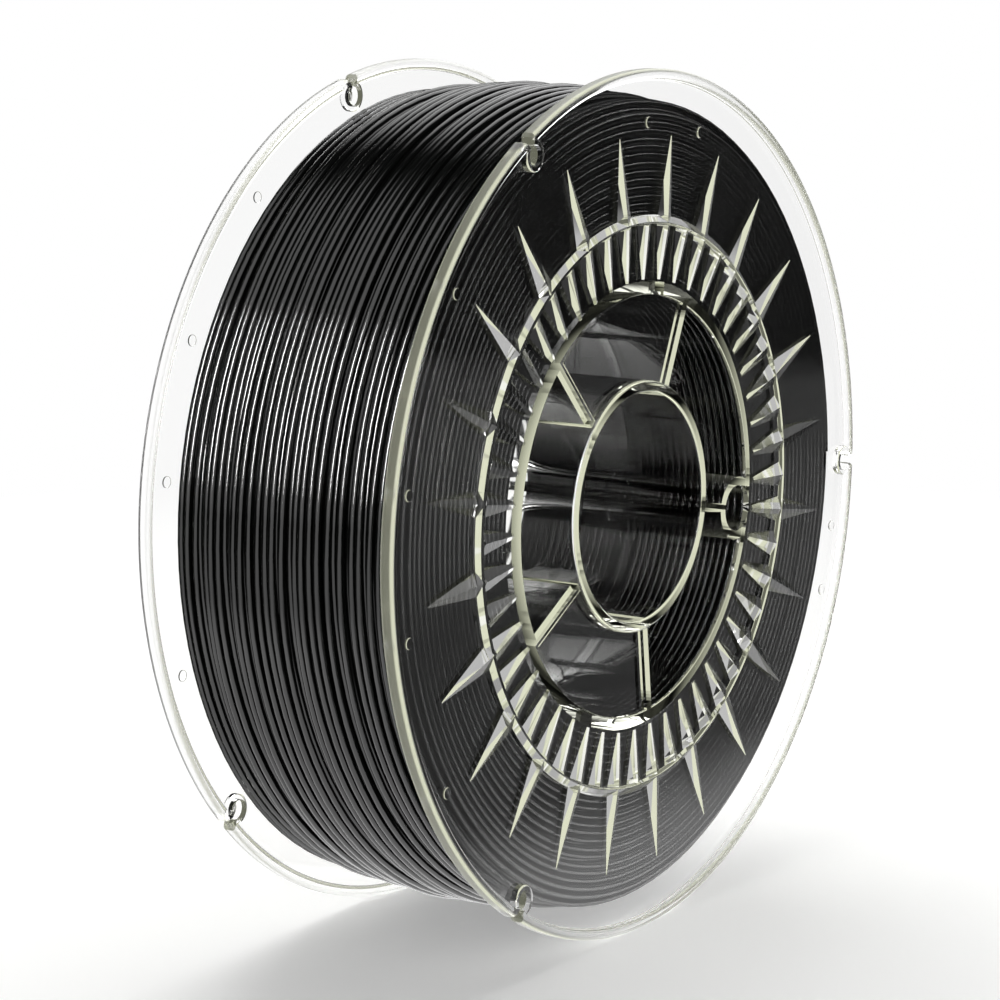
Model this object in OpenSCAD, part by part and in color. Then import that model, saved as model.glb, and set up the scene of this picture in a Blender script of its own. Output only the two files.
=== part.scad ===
// Filament spool: two identical clear half spools, snapped together at the
// middle, wound full of filament. The spool stands on its flange rims.
// Spin axis along Y, origin on the axis midway between the flanges, Z up.

/* [Flanges] */
// Outside diameter of the flanges
flange_d = 200; // [190:1:260]
// Width over the beads of both flanges
spool_w = 68; // [48:1:110]
// Thickness of the flange disc
flange_t = 1.8; // [1.2:0.1:4]
// Radial width of the bead round the rim
bead_w = 2.3; // [1.4:0.1:4]
// Height of the bead above the flange disc
bead_h = 1.6; // [1:0.1:3]
// Chamfer on the edges of the bead
bead_chamfer = 0.5; // [0.1:0.1:0.6]

/* [Hub] */
// Inside diameter of the hub wall
hub_d = 97.6; // [90:0.2:104]
// Thickness of the hub wall
hub_wall = 3; // [2.4:0.1:5]
// Diameter of the spindle bore
bore_d = 53; // [40:0.5:58]
// Wall of the bore tube
bore_wall = 2.6; // [1.6:0.1:5]
// How far the bore tube stands above the flange disc
bore_lip = 0.9; // [0.1:0.1:1]
// Thickness of the webs between bore tube and hub wall
web_t = 2; // [1.2:0.1:4]
// Angle from the drive hole to the nearer web on each side
near_web_angle = 75; // [60:1:90]
// Angle from the drive hole to the farther web on each side
far_web_angle = 141; // [125:1:155]
// Thickness of the panels that close two of the sectors
panel_t = 1.6; // [1:0.1:3]
// Depth of the panels below the edge of the hub
panel_recess = 0.8; // [0.2:0.1:3]
// Width of the notch in the edge of the hub wall
notch_w = 5.2; // [2:0.1:8]
// Depth of that notch along the axis
notch_depth = 2.5; // [1:0.1:5]

/* [Drive hole] */
// Diameter of the drive hole
drive_hole_d = 11; // [6:0.5:13]
// Wall of the ring round the drive hole
drive_wall = 2.1; // [1.2:0.1:3]
// Wall left between the drive hole and the winding
drive_skin = 0.9; // [0.6:0.1:2]

/* [Sunburst] */
// Radial length of the short teeth next to the hub
tooth_l = 12.4; // [8:0.1:14]
// Gap from a tooth to the hub wall and to the ridge ring
tooth_gap = 0.5; // [0.2:0.1:1]
// Width of a tooth at its outer end
tooth_w = 6; // [3:0.1:7]
// Width of a tooth at its tip
tooth_tip_w = 1.4; // [0.6:0.1:3]
// Height of the ridge ring, the teeth and the rays above the disc
ridge_h = 1.3; // [0.4:0.1:1.5]
// Radial width of the sloped ridge ring
ridge_w = 1.8; // [1:0.1:4]
// Number of long rays, with two teeth to each
ray_count = 24; // [12:1:30]
// Width of a ray at the ridge ring
ray_w = 6.2; // [3:0.1:8]
// Distance from the tips of the rays to the rim
ray_margin = 14.7; // [10:0.1:18]

/* [Filament clips] */
// Number of clips in each flange
clip_count = 3; // [1:1:6]
// Angle from the drive hole to the first clip
clip_angle = 7.5; // [5:0.5:40]
// Diameter of the clip hole
clip_hole_d = 4.8; // [3:0.1:6]
// Wall round the clip hole and its mouth
clip_wall = 1.2; // [0.8:0.1:2]
// Distance from the centre of the clip hole to the rim
clip_margin = 4.6; // [4:0.1:6]
// Width of the clip's slit at the hole
slit_w = 1.8; // [1:0.1:2.4]
// Width of the clip's mouth at the rim
mouth_w = 5; // [3:0.1:8]

/* [Moulding marks] */
// Diameter of the ejector pads on the flange
pad_d = 2.6; // [1:0.1:4]
// Height of the ejector pads
pad_h = 0.4; // [0.2:0.1:1]
// Distance from the pads to the rim
pad_margin = 6.8; // [6:0.1:9]

/* [Snap joint] */
// Length of the overlapping lip at the middle joint
lap_l = 3; // [1.5:0.1:5]
// Play between the two half spools
joint_play = 0.15; // [0.05:0.05:0.3]
// Width of the snap hook
hook_w = 4.6; // [3:0.1:8]
// Thickness of the snap hook
hook_t = 1.6; // [1:0.1:2.5]
// How far the hook reaches into the other half
hook_reach = 9; // [6:0.5:12]
// How far the hook's nose enters its window
hook_nose = 1.2; // [0.6:0.1:1.6]

/* [Winding] */
// Diameter of the filament
filament_d = 1.75; // [1.6:0.05:2]
// Bare height of flange outside the winding
bare_rim = 7.5; // [7:0.1:20]
// How much fuller the winding is in the middle
crown = 3.6; // [0:0.1:4]
// Loops in the outer layer of the winding
outer_loops = 24; // [12:1:24]
// How far a loop wanders sideways from an even pitch
wander = 0.14; // [0:0.01:0.15]
// Gap between the winding and what it lies on
winding_gap = 0.2; // [0.1:0.05:0.4]

/* [Pose] */
// Turn of the spool about its axis as it stands
spin_angle = -9; // [-180:1:180]

/* [Hidden] */

clear_plastic = [0.86, 0.88, 0.82, 0.4];
filament_black = [0.03, 0.03, 0.03];

round_fn = 180;     // facets of the large circles
small_fn = 48;      // facets of the small circles
sink = 0.4;         // depth to which raised details reach into the disc
bite = 0.6;         // depth to which webs and panels reach into a wall
fuse = 0.01;        // overlap of the lip with the hub wall that it grows from

// Heights in one half spool, measured outwards from the middle joint
half_w = spool_w / 2;
face_z = half_w - bead_h;          // outer face of the flange disc
inner_z = face_z - flange_t;       // inner face of the flange disc
panel_z = face_z - panel_recess - panel_t;

// Radii
flange_r = flange_d / 2;
hub_in_r = hub_d / 2;
hub_out_r = hub_in_r + hub_wall;
bore_r = bore_d / 2;
bore_out_r = bore_r + bore_wall;
drive_out_r = drive_hole_d / 2 + drive_wall;
drive_x = hub_out_r - drive_skin - drive_hole_d / 2;
tooth_in_r = hub_out_r + tooth_gap;
tooth_out_r = tooth_in_r + tooth_l;
ridge_r = tooth_out_r + tooth_gap;
ray_tip_r = flange_r - ray_margin;
clip_r = flange_r - clip_margin;
pad_r = flange_r - pad_margin;
tooth_count = 2 * ray_count;
tooth_slope = 2 * ridge_h / tooth_w;
ray_slope = 2 * 0.88 * ridge_h / ray_w;         // the ray's root lies under the slope of the ring

// Pads on the flange: [distance from the axis, angle from the drive hole]
mark_r = tooth_out_r + 23.2;
pads = [[pad_r, 151.5], [pad_r, 179], [pad_r, 198.5], [pad_r, 222], [pad_r, 347.5], [pad_r, 357.5],
        [mark_r, 82], [mark_r, 97]];

// Joint at the middle: the lip covers one side, its rebate the other
lap_from = 14;
lap_to = 166;
lap_r = hub_out_r - hub_wall / 2;
hook_root = 6;
window_l = 3.2;

// Winding
core_w = 2 * (inner_z - winding_gap);
core_in_r = hub_out_r + winding_gap;
steps = 24;                                     // rings to a loop
turn_step = 360 / steps;
chord = cos(turn_step / 2);                     // a straight run dips to this share of its radius
strand_r = filament_d / 2;
edge_r = flange_r - bare_rim;                   // outside of the winding at a flange
core_edge_r = (edge_r - strand_r) * chord - strand_r - winding_gap;
core_arc_r = (pow(core_w / 2, 2) + pow(crown, 2)) / (2 * max(crown, 0.001));
shoulder_w = 1.6 * filament_d;                  // width of the step next to each flange
shoulder_r = core_edge_r - filament_d;
turn_groove = filament_d / 3;                   // depth of the grooves between the turns on the core
strand_end_y = core_w / 2 - winding_gap - strand_r;
pitch = 2 * (strand_end_y - 2 * wander) / outer_loops;
dive_bend = 0.6 * filament_d;                   // bend where an end turns down to the layer below

// Outside radius of the core at height y along the axis
function core_r(y) =
    crown < 0.01 ? core_edge_r
    : core_edge_r + crown - core_arc_r + sqrt(pow(core_arc_r, 2) - pow(y, 2));

// Middle line of the outer turns: one strand, flange to flange, with a slow side to side wander
function strand_y(a) = -pitch * outer_loops / 2 + pitch * a / 360 + wander * sin(1.37 * a) * sin(a / 7);
function strand_centre_r(y) = (core_r(y) + winding_gap + strand_r) / chord;
function on_axis_y(r, a, y) = [r * cos(a), y, r * sin(a)];
function strand_point(a) = on_axis_y(strand_centre_r(strand_y(a)), a, strand_y(a));

// An end that turns square down to the layer below, and runs straight for one strand diameter
function end_points(a, way) =
    let (y = strand_y(a), r = strand_centre_r(y), out = [cos(a), 0, sin(a)],
         along = way * [-sin(a), 0, cos(a)], start = [r * cos(a), y, r * sin(a)])
    [for (t = [30, 60, 90]) start + dive_bend * (sin(t) * along - (1 - cos(t)) * out)];
function end_foot(a, way) =
    let (points = end_points(a, way), last = points[2], out = [cos(a), 0, sin(a)])
    [last - filament_d * out];

function reversed(points) = [for (i = [len(points) - 1 : -1 : 0]) points[i]];

last_a = 360 * outer_loops;
middle_line = [for (a = [0 : turn_step : last_a]) strand_point(a)];
start_line = reversed(concat(end_points(0, -1), end_foot(0, -1)));
strand_line = concat(start_line, middle_line, end_points(last_a, 1), end_foot(last_a, 1));

// Least gap between the strand and itself, between points half a loop or more apart along it
near = steps / 2;
strand_gap = min([for (i = [0 : len(strand_line) - 1 - near])
    min([for (j = [i + near : min(i + 2 * steps, len(strand_line) - 1)])
        norm(strand_line[i] - strand_line[j])])]) - filament_d;
echo(least_gap_between_outer_turns = strand_gap);

module ring(in_r, out_r, low, high) {
    translate([0, 0, low]) difference() {
        cylinder(h = high - low, r = out_r, $fn = round_fn);
        translate([0, 0, -1]) cylinder(h = high - low + 2, r = in_r, $fn = round_fn);
    }
}

// A ridge with a roof-shaped section, on the plane z = 0 along X, its sides run down into the disc.
// Slope is its height over half its width, and a width below 0 ends it in a point before x1.
module ridge(x0, x1, w0, w1, slope) {
    run_out = sink / slope;
    b0 = w0 / 2 + run_out;
    b1 = w1 / 2 + run_out;
    polyhedron(
        points = [[x0, -b0, -sink], [x0, b0, -sink], [x0, 0, slope * w0 / 2],
                  [x1, -b1, -sink], [x1, b1, -sink], [x1, 0, slope * w1 / 2]],
        faces = [[0, 1, 2], [3, 5, 4], [0, 3, 4], [0, 4, 1], [0, 2, 5], [0, 5, 3], [1, 4, 5], [1, 5, 2]]);
}

module flange_and_bead() {
    ring(hub_out_r - bite, flange_r - bead_w + bite, inner_z, face_z);
    rotate_extrude($fn = round_fn) polygon([
        [flange_r - bead_w, inner_z],
        [flange_r - bead_chamfer, inner_z],
        [flange_r, inner_z + bead_chamfer],
        [flange_r, half_w - bead_chamfer],
        [flange_r - bead_chamfer, half_w],
        [flange_r - bead_w + bead_chamfer, half_w],
        [flange_r - bead_w, half_w - bead_chamfer]]);
}

// Ring of slope and crest that the teeth and rays meet
module ridge_ring() {
    rotate_extrude($fn = round_fn) polygon([
        [ridge_r, face_z - sink], [ridge_r + ridge_w, face_z - sink],
        [ridge_r + ridge_w, face_z], [ridge_r, face_z + ridge_h]]);
}

// Long rays, rooted just under the crest of the ridge ring and pointed at the other end
module rays() {
    root_r = ridge_r + 0.05 * ridge_w;
    past = 0.05;                                // share of the length that runs on under the surface
    for (i = [0 : ray_count - 1])
        rotate([0, 0, i * 360 / ray_count]) translate([0, 0, face_z])
            ridge(root_r, ray_tip_r + past * (ray_tip_r - root_r), ray_w, -past * ray_w, ray_slope);
}

module teeth() {
    for (i = [0 : tooth_count - 1])
        rotate([0, 0, i * 360 / tooth_count]) translate([0, 0, face_z])
            ridge(tooth_in_r, tooth_out_r, tooth_tip_w, tooth_w, tooth_slope);
}

// Outline of a clip in the flange plane, grown by a wall: the hole and its mouth to the rim
module clip_outline(wall, reach) {
    translate([clip_r, 0]) circle(r = clip_hole_d / 2 + wall, $fn = small_fn);
    polygon([[clip_r, -slit_w / 2 - wall], [clip_r + clip_hole_d / 2, -slit_w / 2 - wall],
             [flange_r + reach, -mouth_w / 2 - wall], [flange_r + reach, mouth_w / 2 + wall],
             [clip_r + clip_hole_d / 2, slit_w / 2 + wall], [clip_r, slit_w / 2 + wall]]);
}

module at_clips() {
    for (i = [0 : clip_count - 1]) rotate([0, 0, clip_angle + i * 360 / clip_count]) children();
}

module clip_walls() {
    at_clips() translate([0, 0, inner_z]) linear_extrude(bead_h + flange_t) intersection() {
        clip_outline(clip_wall, 0);
        circle(r = flange_r - bead_w / 2, $fn = round_fn);
    }
}

module clip_cuts() {
    at_clips() translate([0, 0, inner_z - 1]) linear_extrude(bead_h + flange_t + 2) clip_outline(0, 1);
}

module ejector_pads() {
    for (p = pads) rotate([0, 0, p[1]]) translate([p[0], 0, face_z - sink])
        cylinder(h = sink + pad_h, d = pad_d, $fn = small_fn);
}

// A web from the bore tube out to a given radius
module web(angle, out_r) {
    rotate([0, 0, angle]) translate([bore_out_r - bite, -web_t / 2, 0])
        cube([out_r - bore_out_r + bite, web_t, face_z]);
}

module webs() {
    for (side = [-1, 1]) {
        web(side * near_web_angle, hub_in_r + bite);
        web(side * far_web_angle, hub_in_r + bite);
    }
    web(0, drive_x - drive_hole_d / 2 - drive_wall / 2);
}

// Sector plates between the near and the far web, on both sides
module panels() {
    reach = 1.5 * hub_in_r;
    for (side = [0, 1]) mirror([0, side, 0])
        translate([0, 0, panel_z]) linear_extrude(panel_t) intersection() {
            difference() {
                circle(r = hub_in_r + bite, $fn = round_fn);
                circle(r = bore_out_r - bite, $fn = round_fn);
            }
            polygon([[0, 0], reach * [cos(near_web_angle), sin(near_web_angle)],
                     2 * reach * [cos((near_web_angle + far_web_angle) / 2),
                                  sin((near_web_angle + far_web_angle) / 2)],
                     reach * [cos(far_web_angle), sin(far_web_angle)]]);
        }
}

// Tube round the drive hole, trimmed to the outside of the hub
module drive_tube() {
    intersection() {
        translate([drive_x, 0, 0]) cylinder(h = face_z, r = drive_out_r, $fn = small_fn);
        cylinder(h = face_z, r = hub_out_r, $fn = round_fn);
    }
}

// Part ring between two angles, for the lip and its rebate
module part_ring(in_r, out_r, low, high, from, to) {
    reach = 3 * out_r;
    corners = 4;
    intersection() {
        ring(in_r, out_r, low, high);
        translate([0, 0, low - 1]) linear_extrude(high - low + 2)
            polygon(concat([[0, 0]], [for (i = [0 : corners])
                let (angle = from + (to - from) * i / corners) reach * [cos(angle), sin(angle)]]));
    }
}

// Snap hook inside the hub wall, opposite the window that the other half's hook enters
module hook() {
    root_r = hub_in_r + bite;
    free_r = hub_in_r - joint_play;
    nose_z = -hook_reach + window_l - 2 * joint_play;
    rotate([0, 0, 90]) rotate([90, 0, 0]) translate([0, 0, -hook_w / 2]) linear_extrude(hook_w)
        polygon([[hub_in_r - hook_t, hook_root], [root_r, hook_root], [root_r, 0], [free_r, 0],
                 [free_r, nose_z], [free_r + hook_nose, nose_z],
                 [free_r + hook_nose, nose_z - window_l / 4], [free_r, -hook_reach],
                 [hub_in_r - hook_t, -hook_reach]]);
}

module hook_window() {
    rotate([0, 0, -90]) translate([hub_in_r - 1, -hook_w / 2 - joint_play, hook_reach - window_l])
        cube([hub_wall + 2, hook_w + 2 * joint_play, window_l + joint_play]);
}

module hub_notch() {
    rotate([0, 0, 90]) translate([hub_in_r - 1, -notch_w / 2, face_z - notch_depth])
        cube([hub_wall + 1, notch_w, notch_depth + 1]);
}

// One moulding: flange outwards along +Z, middle joint at z = 0, drive hole on +X
module half_spool() {
    difference() {
        union() {
            flange_and_bead();
            ridge_ring();
            rays();
            teeth();
            clip_walls();
            ejector_pads();
            ring(hub_in_r, hub_out_r, 0, face_z);
            ring(bore_r, bore_out_r, 0, face_z + bore_lip);
            webs();
            panels();
            drive_tube();
        }
        clip_cuts();
        translate([drive_x, 0, -1]) cylinder(h = spool_w, d = drive_hole_d, $fn = small_fn);
        hub_notch();
        hook_window();
        part_ring(lap_r - joint_play, hub_out_r + 1, -1, lap_l + joint_play, -lap_to - 1, -lap_from + 1);
    }
    part_ring(lap_r, hub_out_r, -lap_l, fuse, lap_from, lap_to);
    hook();
}

module front_half() {
    color(clear_plastic) rotate([90, 0, 0]) rotate([0, 0, spin_angle]) half_spool();
}

// The same moulding, turned over about the line through the drive hole
module rear_half() {
    color(clear_plastic) rotate([90, 0, 0]) rotate([0, 0, spin_angle]) rotate([180, 0, 0]) half_spool();
}

// Ridges on a side of the core, one for each turn that shows through the flange
function side_turns(side) =
    let (count = floor((shoulder_r - core_in_r) / filament_d), step = (shoulder_r - core_in_r) / (2 * count))
    [for (i = [0 : 2 * count]) [core_in_r + step * i, side * (core_w / 2 - (1 - i % 2) * turn_groove)]];

// Ridges inside the core, one for each turn that shows through the wall of the hub
function hub_turns() =
    let (reach = core_w / 2 - turn_groove, count = floor(2 * reach / filament_d), step = reach / count)
    [for (i = [1 : 2 * count - 1]) [core_in_r + i % 2 * turn_groove, reach - step * i]];

// The winding below its outer layer, fuller in the middle, one strand lower beside the flanges
module filament_core() {
    body_y = core_w / 2 - shoulder_w;
    arc_steps = 16;
    color(filament_black) rotate([-90, 0, 0]) rotate_extrude($fn = round_fn) polygon(concat(
        side_turns(-1),
        [[shoulder_r, -body_y]],
        [for (i = [-arc_steps / 2 : arc_steps / 2]) let (y = 2 * body_y * i / arc_steps) [core_r(y), y]],
        [[shoulder_r, body_y]],
        reversed(side_turns(1)),
        hub_turns()));
}

// A tube of six sides along a line of points, with closed ends
module strand(line, r) {
    sides = 6;
    count = len(line);
    function way(i) =
        let (d = line[min(i + 1, count - 1)] - line[max(i - 1, 0)]) d / norm(d);
    function ring_point(i, k) =
        let (t = way(i), across = cross(t, [0, 1, 0]), u = across / norm(across), v = cross(u, t),
             a = 360 * k / sides + 30)
        line[i] + r * (cos(a) * u + sin(a) * v);
    polyhedron(
        points = [for (i = [0 : count - 1]) for (k = [0 : sides - 1]) ring_point(i, k)],
        faces = concat(
            [for (k = [1 : sides - 2]) [0, k + 1, k]],
            [for (i = [0 : count - 2]) for (k = [0 : sides - 1])
                let (n = (k + 1) % sides) [i * sides + k, i * sides + n, (i + 1) * sides + k]],
            [for (i = [0 : count - 2]) for (k = [0 : sides - 1])
                let (n = (k + 1) % sides) [i * sides + n, (i + 1) * sides + n, (i + 1) * sides + k]],
            [for (k = [1 : sides - 2]) (count - 1) * sides * [1, 1, 1] + [0, k, k + 1]]));
}

module filament_outer_turns() {
    color(filament_black) strand(strand_line, strand_r);
}

front_half();
rear_half();
filament_core();
filament_outer_turns();
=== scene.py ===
"""Filament spool: clear half spools, their winding of black filament, and a plain studio.

The file is laid out as an add-on. Each operator makes one piece, or a group of like pieces,
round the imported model, which is loaded below as a fixed frame.
"""

import math

import bpy
import numpy as np
from bpy.props import FloatProperty, FloatVectorProperty, IntProperty, PointerProperty
from bpy.types import Operator, Panel, PropertyGroup
from mathutils import Matrix, Vector


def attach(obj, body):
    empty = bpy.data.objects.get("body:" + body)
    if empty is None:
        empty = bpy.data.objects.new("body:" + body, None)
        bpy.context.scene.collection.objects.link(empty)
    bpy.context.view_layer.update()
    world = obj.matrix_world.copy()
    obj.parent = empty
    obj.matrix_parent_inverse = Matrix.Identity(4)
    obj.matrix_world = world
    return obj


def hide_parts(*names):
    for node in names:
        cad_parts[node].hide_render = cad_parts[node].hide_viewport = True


bl_info = {
    "name": "Filament Spool",
    "version": (1, 0, 0),
    "blender": (4, 5, 0),
    "location": "View3D > Sidebar > Spool",
    "description": "Models a clear filament spool and its winding round a packed frame",
    "category": "Object",
}

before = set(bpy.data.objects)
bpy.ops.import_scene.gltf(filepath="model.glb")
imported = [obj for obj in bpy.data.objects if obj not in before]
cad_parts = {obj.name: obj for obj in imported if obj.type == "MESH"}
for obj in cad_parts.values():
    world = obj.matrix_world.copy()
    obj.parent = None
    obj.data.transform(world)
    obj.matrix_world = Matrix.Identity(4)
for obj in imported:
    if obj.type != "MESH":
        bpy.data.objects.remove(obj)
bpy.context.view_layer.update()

MM = 0.001
BODY = "root"
WELD = 0.001 * MM  # points closer than this become one
FILLET_STEPS = 6  # facets across a rounded edge


# ---------------------------------------------------------------- sizes and colours


def linear(code):
    """The linear colour of an sRGB hex value such as #C8CDB8."""
    channels = [int(code[i : i + 2], 16) / 255 for i in (1, 3, 5)]
    return [c / 12.92 if c <= 0.04045 else ((c + 0.055) / 1.055) ** 2.4 for c in channels]


def length(name, description, millimetres):
    return FloatProperty(
        name=name, description=description, default=millimetres * MM, unit="LENGTH", precision=5
    )


def angle(name, description, degrees):
    return FloatProperty(
        name=name, description=description, default=math.radians(degrees), subtype="ANGLE"
    )


def colour(name, description, code):
    return FloatVectorProperty(
        name=name, description=description, default=linear(code), subtype="COLOR", size=3
    )


class SpoolSizes(PropertyGroup):
    flange_radius: length("Flange radius", "Outside radius of both flanges", 100)
    half_width: length("Half width", "From the middle joint to the bead of a flange", 34)
    flange_thickness: length("Flange thickness", "Thickness of the flange disc", 1.8)
    bead_width: length("Bead width", "Radial width of the bead round the rim", 2.3)
    bead_height: length("Bead height", "Height of the bead above the flange disc", 1.6)
    hub_radius: length("Hub radius", "Inside radius of the hub wall", 48.8)
    hub_wall: length("Hub wall", "Thickness of the hub wall", 3)
    bore_radius: length("Bore radius", "Radius of the spindle bore", 26.5)
    bore_wall: length("Bore wall", "Thickness of the bore tube", 2.6)
    bore_lip: length("Bore lip", "Height of the bore tube above the flange disc", 0.9)
    web: length("Web thickness", "Thickness of the webs in the hub", 2)
    near_web: angle("Near webs", "Angle of the nearer webs from the drive hole", 75)
    far_web: angle("Far webs", "Angle of the farther webs from the drive hole", 141)
    panel: length("Panel thickness", "Thickness of the panels in the hub", 1.6)
    panel_recess: length("Panel recess", "Depth of the panels below the edge of the hub", 0.8)
    drive_hole_radius: length("Drive hole radius", "Radius of the drive hole", 5.5)
    drive_wall: length("Drive hole wall", "Wall of the ring round the drive hole", 2.1)
    drive_centre: length("Drive hole centre", "Distance of the drive hole from the axis", 45.4)
    ridge_radius: length("Ridge radius", "Radius of the crest of the ridge ring", 65.2)
    ridge_width: length("Ridge width", "Radial width of the slope of the ridge ring", 1.8)
    ridge_height: length("Ridge height", "Height of the ring, rays and teeth", 1.3)
    ray_count: IntProperty(name="Rays", description="Long rays on a flange", default=24)
    ray_tip: length("Ray tip", "Distance of the tips of the rays from the axis", 85.3)
    ray_width: length("Ray width", "Width of a ray at the ridge ring", 6.2)
    tooth_width: length("Tooth width", "Width of a tooth at its outer end", 6)
    tooth_tip: length("Tooth tip", "Width of a tooth next to the hub", 1.4)
    notch_width: length("Notch width", "Width of the notch in the edge of the hub", 5.2)
    notch_depth: length("Notch depth", "Depth of the notch in the edge of the hub", 2.5)
    clip_count: IntProperty(name="Clips", description="Filament clips in a rim", default=3)
    clip_angle: angle("Clip angle", "Angle of the first clip from the drive hole", 7.5)
    clip_hole: length("Clip hole", "Diameter of the hole of a filament clip", 4.8)
    clip_wall: length("Clip wall", "Wall round the hole of a filament clip", 1.2)
    clip_margin: length("Clip margin", "From the rim to the middle of a clip hole", 4.6)
    slit: length("Clip slit", "Width of the slit of a filament clip", 1.8)
    mouth: length("Clip mouth", "Width of the mouth of a filament clip at the rim", 5)
    pad_diameter: length("Pad diameter", "Diameter of the round ejector pads", 2.6)
    pad_height: length("Pad height", "Height of the round ejector pads", 0.4)
    pad_margin: length("Pad margin", "From the rim to the outer pads", 6.8)
    mark_radius: length("Inner pads", "Distance of the inner pads from the axis", 87.9)
    lap: length("Lap", "Length of the lip and rebate where the two hubs meet", 3)
    play: length("Joint play", "Gap left in the lap and round the snap hook", 0.15)
    hook_width: length("Hook width", "Width of the snap hook", 4.6)
    hook_thickness: length("Hook thickness", "Thickness of the snap hook", 1.6)
    hook_reach: length("Hook reach", "How far the snap hook reaches into the other half", 9)
    hook_nose: length("Hook nose", "How far the nose of the snap hook stands out", 1.2)
    hook_slot: length("Hook slot", "Height of the slot for the nose of the snap hook", 3.2)
    spin: angle("Spin", "Turn of the spool about its axis as it stands", -9)


class WindingSizes(PropertyGroup):
    diameter: length("Filament", "Diameter of the filament", 1.75)
    edge_radius: length("Radius at the flange", "Outside radius of the winding at a flange", 92.6)
    crown: length("Crown", "How much fuller the winding is in the middle", 3.4)
    top_loops: IntProperty(name="Top loops", description="Loops of the outer layer", default=24)
    lower_loops: IntProperty(name="Lower loops", description="Loops of the layer below", default=32)
    seed: IntProperty(name="Seed", description="Seed of the winding's unevenness", default=7)


class SpoolColours(PropertyGroup):
    # this tint also colours the painted glow in the edges and facets
    plastic: colour("Clear plastic", "Tint of the clear plastic through its edges", "#E4E6CE")
    filament: colour("Filament", "Colour of the filament", "#0B0C0B")
    floor: colour("Floor", "Colour of the floor", "#F4F4F2")


# ---------------------------------------------------------------- modelling helpers


def start_fresh():
    """Object mode with nothing selected, so that an operator acts on its own piece alone."""
    if bpy.context.object and bpy.context.object.mode != "OBJECT":
        bpy.ops.object.mode_set(mode="OBJECT")
    bpy.ops.object.select_all(action="DESELECT")


def select_only(piece):
    start_fresh()
    piece.select_set(True)
    bpy.context.view_layer.objects.active = piece


def edit(piece):
    """Edit mode with all of the piece selected."""
    select_only(piece)
    bpy.ops.object.mode_set(mode="EDIT")
    bpy.ops.mesh.select_mode(type="VERT")
    bpy.ops.mesh.select_all(action="SELECT")


def leave_edit():
    bpy.ops.object.mode_set(mode="OBJECT")


def weld_and_leave_edit():
    """Merges doubled points and turns the faces outwards before it leaves edit mode."""
    bpy.ops.mesh.select_all(action="SELECT")
    bpy.ops.mesh.remove_doubles(threshold=WELD)
    bpy.ops.mesh.normals_make_consistent(inside=False)
    leave_edit()


def apply_place():
    """Puts the place, turn and size of the selected piece into its mesh."""
    bpy.ops.object.transform_apply(location=True, rotation=True, scale=True)


def place(piece, matrix):
    """Moves a piece and applies the move."""
    select_only(piece)
    piece.matrix_world = matrix
    bpy.context.view_layer.update()
    apply_place()


def rounded(corners, radii):
    """The corners of an outline, each turned into an arc of its own radius (0 leaves it sharp)."""
    count = len(corners)
    points = []
    for i, (corner, radius) in enumerate(zip(corners, radii)):
        here = Vector(corner)
        if radius == 0:
            points.append(here)
            continue
        back = (Vector(corners[i - 1]) - here).normalized()
        on = (Vector(corners[(i + 1) % count]) - here).normalized()
        half = back.angle(on) / 2
        reach = radius / math.tan(half)
        centre = here + (back + on).normalized() * radius / math.sin(half)
        first = here + back * reach - centre
        last = here + on * reach - centre
        for step in range(FILLET_STEPS + 1):
            points.append(centre + first.slerp(last, step / FILLET_STEPS) * radius)
    return points


def draw_outline(name, points, flat=False):
    """A closed outline, drawn by extruding one vertex from point to point.

    It stands in the XZ plane, or lies flat in the XY plane.
    """
    start_fresh()
    bpy.ops.mesh.primitive_plane_add(size=MM)
    piece = bpy.context.object
    piece.name = name
    edit(piece)
    bpy.ops.mesh.merge(type="CENTER")
    spots = [Vector((p[0], p[1], 0) if flat else (p[0], 0, p[1])) for p in points]
    bpy.ops.transform.translate(value=spots[0])
    for here, there in zip(spots, spots[1:] + spots[:1]):
        bpy.ops.mesh.extrude_region_move(TRANSFORM_OT_translate={"value": there - here})
    bpy.ops.mesh.select_all(action="SELECT")
    bpy.ops.mesh.remove_doubles(threshold=WELD)
    return piece


def lathe(name, points, steps=360):
    """A solid of revolution about Z from an outline of (radius, height) points."""
    piece = draw_outline(name, points)
    bpy.ops.mesh.select_all(action="SELECT")
    bpy.ops.mesh.spin(steps=steps, angle=2 * math.pi, center=(0, 0, 0), axis=(0, 0, 1))
    weld_and_leave_edit()
    return piece


def sector(name, points, start, sweep, steps):
    """A part of a ring about Z, from an angle on, with flat ends."""
    piece = draw_outline(name, points)
    bpy.ops.mesh.select_all(action="SELECT")
    bpy.ops.mesh.edge_face_add()
    bpy.ops.mesh.spin(steps=steps, angle=-sweep, center=(0, 0, 0), axis=(0, 0, 1))
    weld_and_leave_edit()
    place(piece, Matrix.Rotation(start, 4, "Z"))
    return piece


def slab(name, points, way, flat=False, edge=0.0):
    """An outline extruded along a vector, with the edges of its far end rounded."""
    piece = draw_outline(name, points, flat)
    bpy.ops.mesh.select_all(action="SELECT")
    bpy.ops.mesh.edge_face_add()
    bpy.ops.mesh.extrude_region_move(TRANSFORM_OT_translate={"value": way})
    if edge:
        bpy.ops.mesh.bevel(offset=edge, segments=FILLET_STEPS)
    bpy.ops.mesh.select_all(action="SELECT")
    bpy.ops.mesh.normals_make_consistent(inside=False)
    leave_edit()
    return piece


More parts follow.
